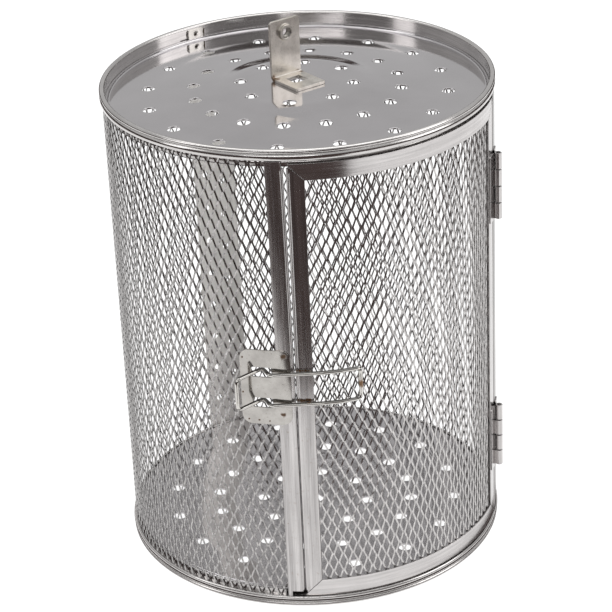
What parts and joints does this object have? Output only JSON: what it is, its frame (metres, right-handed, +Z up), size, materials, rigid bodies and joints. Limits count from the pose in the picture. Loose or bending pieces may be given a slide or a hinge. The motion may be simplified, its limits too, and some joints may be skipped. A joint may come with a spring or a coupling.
{
  "type": "rotisserie basket",
  "caption": "Cylindrical mesh roasting basket with perforated end plates, a hinged door, a spring-wire latch and a square drive bracket.",
  "frame": {"origin": "on the drum's axis, at the plane the lower rim rests on", "axes": "+Z up along the drum's axis towards the drive bracket, -Y towards the door's free edge, +X towards the hinge side"},
  "size_m": [0.1622, 0.1664, 0.2244],
  "materials": {
    "rim_steel": "satin stainless strip, polished on the rolled lip",
    "welded_steel": "satin stainless strap with straw-brown weld marks",
    "polished_plate": "bright, nearly mirror-polished stainless sheet",
    "satin_bracket": "warm satin stainless sheet",
    "mesh_steel": "expanded stainless mesh, bright strands",
    "strip_steel": "fine lengthwise brushed stainless strip",
    "hinge_steel": "satin stainless hinge sheet and pins",
    "spring_wire": "bright drawn spring wire"
  },
  "bodies": {
    "drum": {"bottom_rim": "rim_steel", "top_rim": "rim_steel", "bottom_rim_strap": "welded_steel", "top_rim_strap": "welded_steel", "bottom_plate": "polished_plate", "top_plate": "polished_plate", "drive_bracket": "satin_bracket", "body_mesh": "mesh_steel", "seam_strip": "strip_steel", "latch_post": "strip_steel", "hinge_post": "strip_steel", "latch_plate": "satin_bracket", "upper_hinge_fixed_leaf": "hinge_steel", "lower_hinge_fixed_leaf": "hinge_steel", "upper_hinge_pin": "hinge_steel", "lower_hinge_pin": "hinge_steel"},
    "door": {"upper_hinge_door_leaf": "hinge_steel", "lower_hinge_door_leaf": "hinge_steel", "door_mesh": "mesh_steel", "door_latch_stile": "strip_steel", "door_hinge_stile": "strip_steel", "door_top_rail": "strip_steel", "door_bottom_rail": "strip_steel"},
    "latch": {"latch_wire": "spring_wire"}
  },
  "joints": [
    {"name": "door_swing", "type": "hinge", "parent": "drum", "child": "door", "pos_m": [0.08075, -0.01424, 0.10125], "axis": [0, 0, 1], "range_deg": [0, 165]},
    {"name": "latch_flex", "type": "hinge", "parent": "door", "child": "latch", "pos_m": [0.02575, -0.07606, 0.102], "axis": [0, 0, 1], "range_deg": [0, 10], "stiffness_Nm_per_rad": 1.5}
  ]
}
